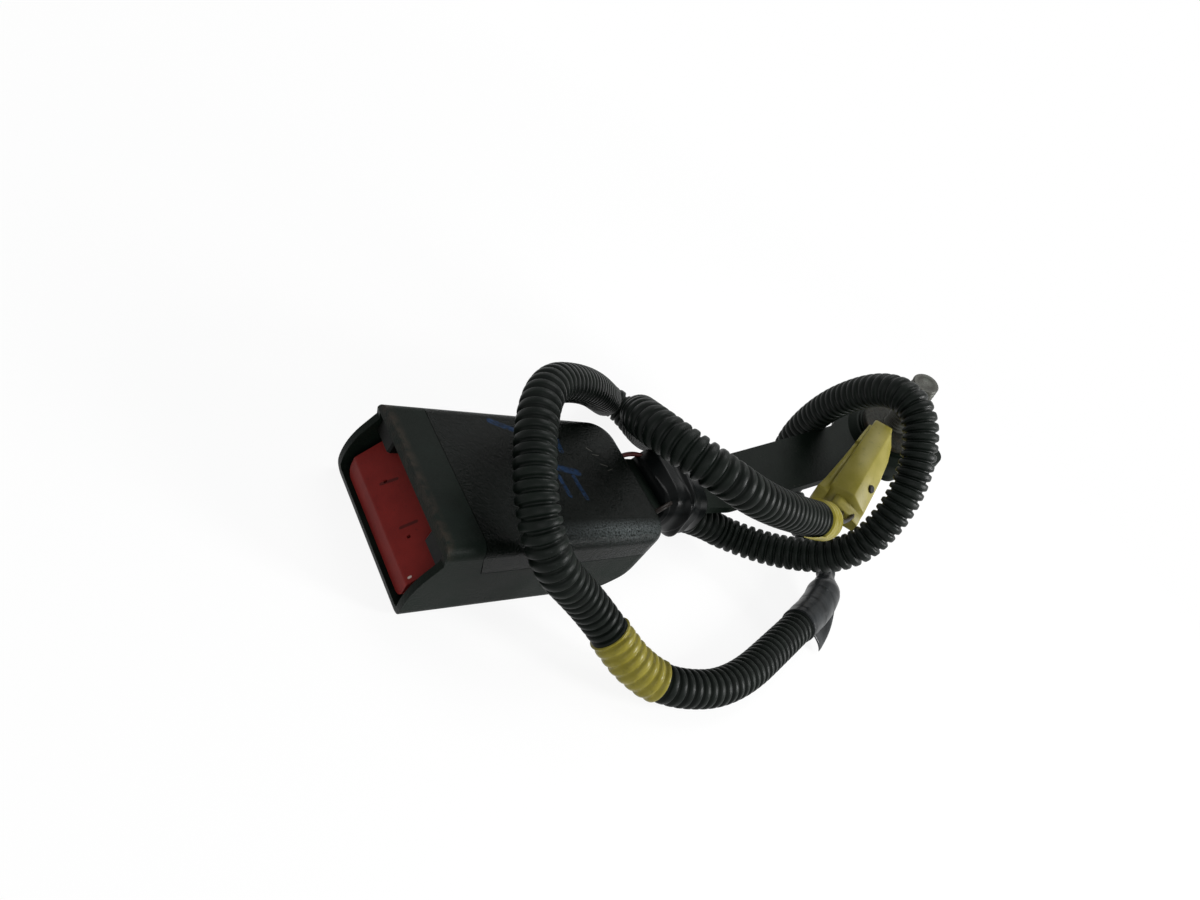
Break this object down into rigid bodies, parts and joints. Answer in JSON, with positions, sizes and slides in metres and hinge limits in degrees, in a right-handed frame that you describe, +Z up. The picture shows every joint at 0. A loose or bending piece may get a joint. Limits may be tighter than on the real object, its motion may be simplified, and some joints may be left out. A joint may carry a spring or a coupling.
{
  "type": "seat belt buckle",
  "caption": "Seat belt buckle with a slotted black housing, a red release button, a bent flat steel stalk with an anchor bolt, and a corrugated sensor harness that ends in a plug.",
  "frame": {"origin": "middle of the rigid part's bounding box, on the plane that the housing lies on", "axes": "+X from the tongue slot along the housing towards the anchor bolt, +Z up from the floor"},
  "size_m": [0.2224, 0.1445, 0.0935],
  "materials": {
    "black_shell": "satin, speckled grain",
    "guide_plastic": "satin",
    "red_button": "satin, worn",
    "coated_steel": "satin black coating",
    "plain_steel": "plain",
    "spring_steel": "bright wire",
    "zinc_steel": "dull zinc plating",
    "rough_steel": "rough grey",
    "natural_plastic": "satin",
    "ferrite": "dull",
    "circuit_board": "satin",
    "wire_red": "smooth insulation",
    "wire_black": "smooth insulation",
    "black_tape": "wrinkled tape",
    "conduit": "corrugated, satin",
    "yellow_tape": "satin tape",
    "yellow_plastic": "satin",
    "seal_rubber": "matt",
    "brass": "plain"
  },
  "bodies": {
    "housing": {"lower_cover": "black_shell", "upper_cover": "black_shell", "tongue_guide": "guide_plastic", "frame_channel": "plain_steel", "latch_pin": "plain_steel", "sensor_board": "circuit_board", "strap_rivets": "plain_steel", "anchor_strap": "coated_steel", "bolt_bush": "coated_steel", "retaining_washer": "rough_steel", "strap_tape": "black_tape", "lead_red": "wire_red", "lead_black": "wire_black", "conduit_loop": "conduit", "junction_tape": "black_tape", "conduit_main": "conduit", "yellow_band": "yellow_tape", "yellow_end_ring": "yellow_tape", "connector_leads": "wire_red", "connector_housing": "yellow_plastic", "connector_lock": "yellow_plastic", "connector_seal": "seal_rubber", "connector_terminals": "brass", "button_springs": "spring_steel", "ejector_spring": "spring_steel"},
    "button": {"press_button": "red_button", "release_bar": "plain_steel"},
    "ejector": {"ejector_slider": "natural_plastic", "sensor_magnet": "ferrite"},
    "latch": {"latch_arm": "plain_steel"},
    "bolt": {"anchor_bolt": "zinc_steel"}
  },
  "joints": [
    {"name": "button_press", "type": "slide", "parent": "housing", "child": "button", "axis": [1, 0, 0], "range_m": [0, 0.006], "stiffness_N_per_m": 300, "springref_m": -0.004, "deforming": ["button_springs"]},
    {"name": "ejector_slide", "type": "slide", "parent": "housing", "child": "ejector", "axis": [1, 0, 0], "range_m": [0, 0.012], "stiffness_N_per_m": 150, "springref_m": -0.006, "deforming": ["ejector_spring"]},
    {"name": "latch_swing", "type": "hinge", "parent": "housing", "child": "latch", "pos_m": [-0.06152, 0, 0.012], "axis": [0, 1, 0], "range_deg": [0, 13]},
    {"name": "anchor_bolt_spin", "type": "hinge", "parent": "housing", "child": "bolt", "pos_m": [0.09551, 0, 0.05547], "axis": [-0.3795, 0, 0.9252], "continuous": true}
  ],
  "couplings": [
    {"joint": "latch_swing", "follows": "ejector_slide", "rad_per_m": 18.9}
  ]
}
